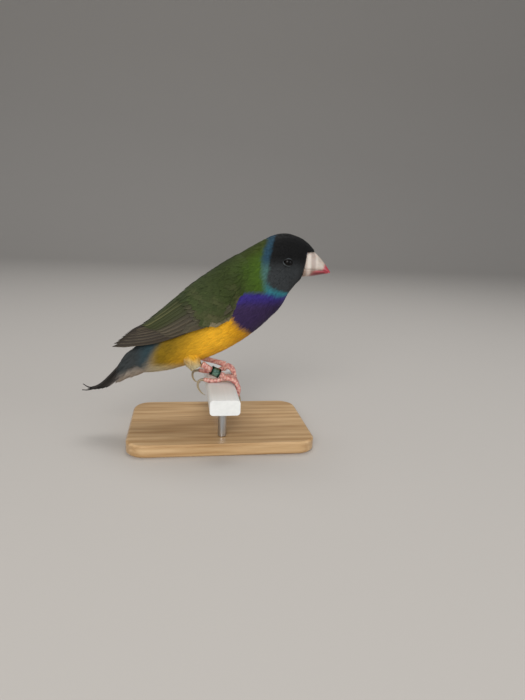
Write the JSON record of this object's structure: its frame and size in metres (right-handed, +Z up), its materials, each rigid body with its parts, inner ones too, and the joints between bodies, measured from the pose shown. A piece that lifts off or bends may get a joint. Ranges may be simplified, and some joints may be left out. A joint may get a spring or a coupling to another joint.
{
  "type": "gouldian finch",
  "caption": "Life-size model of a small crouched finch gripping a short flat perch on a plain rectangular display stand.",
  "frame": {"origin": "centre of the underside of the stand's base, below the middle of the perch", "axes": "+X towards the bird's bill, +Y towards the bird's left side and along the perch, +Z up"},
  "size_m": [0.1185, 0.064, 0.1002],
  "materials": {
    "hood_feathers": "soft, slightly glossy black feathers",
    "nape_feathers": "soft feathers",
    "breast_feathers": "soft, hair-fine feathers",
    "rump_feathers": "soft feathers",
    "tail_feathers": "smooth vanes",
    "wing_feathers": "smooth vanes",
    "thigh_feathers": "downy feathers",
    "bill_horn": "satin ivory horn",
    "eye": "polished, opaque dark brown",
    "leg_scales": "satin scaled skin",
    "leg_band": "dark green anodised, glossy",
    "perch": "smooth matte white",
    "stand_base": "clear satin lacquer on pale wood",
    "stand_rod": "brushed"
  },
  "bodies": {
    "root": {"head": "hood_feathers", "neck": "nape_feathers", "torso": "breast_feathers", "rump": "rump_feathers", "tail": "tail_feathers", "wing_right": "wing_feathers", "wing_left": "wing_feathers", "thigh_right": "thigh_feathers", "thigh_left": "thigh_feathers", "bill_upper": "bill_horn", "bill_lower": "bill_horn", "eye_right": "eye", "eye_left": "eye", "shank_right": "leg_scales", "shank_left": "leg_scales", "foot_right": "leg_scales", "foot_left": "leg_scales", "leg_band": "leg_band", "perch": "perch", "stand_base": "stand_base", "stand_rod_near": "stand_rod", "stand_rod_far": "stand_rod"}
  },
  "joints": []
}
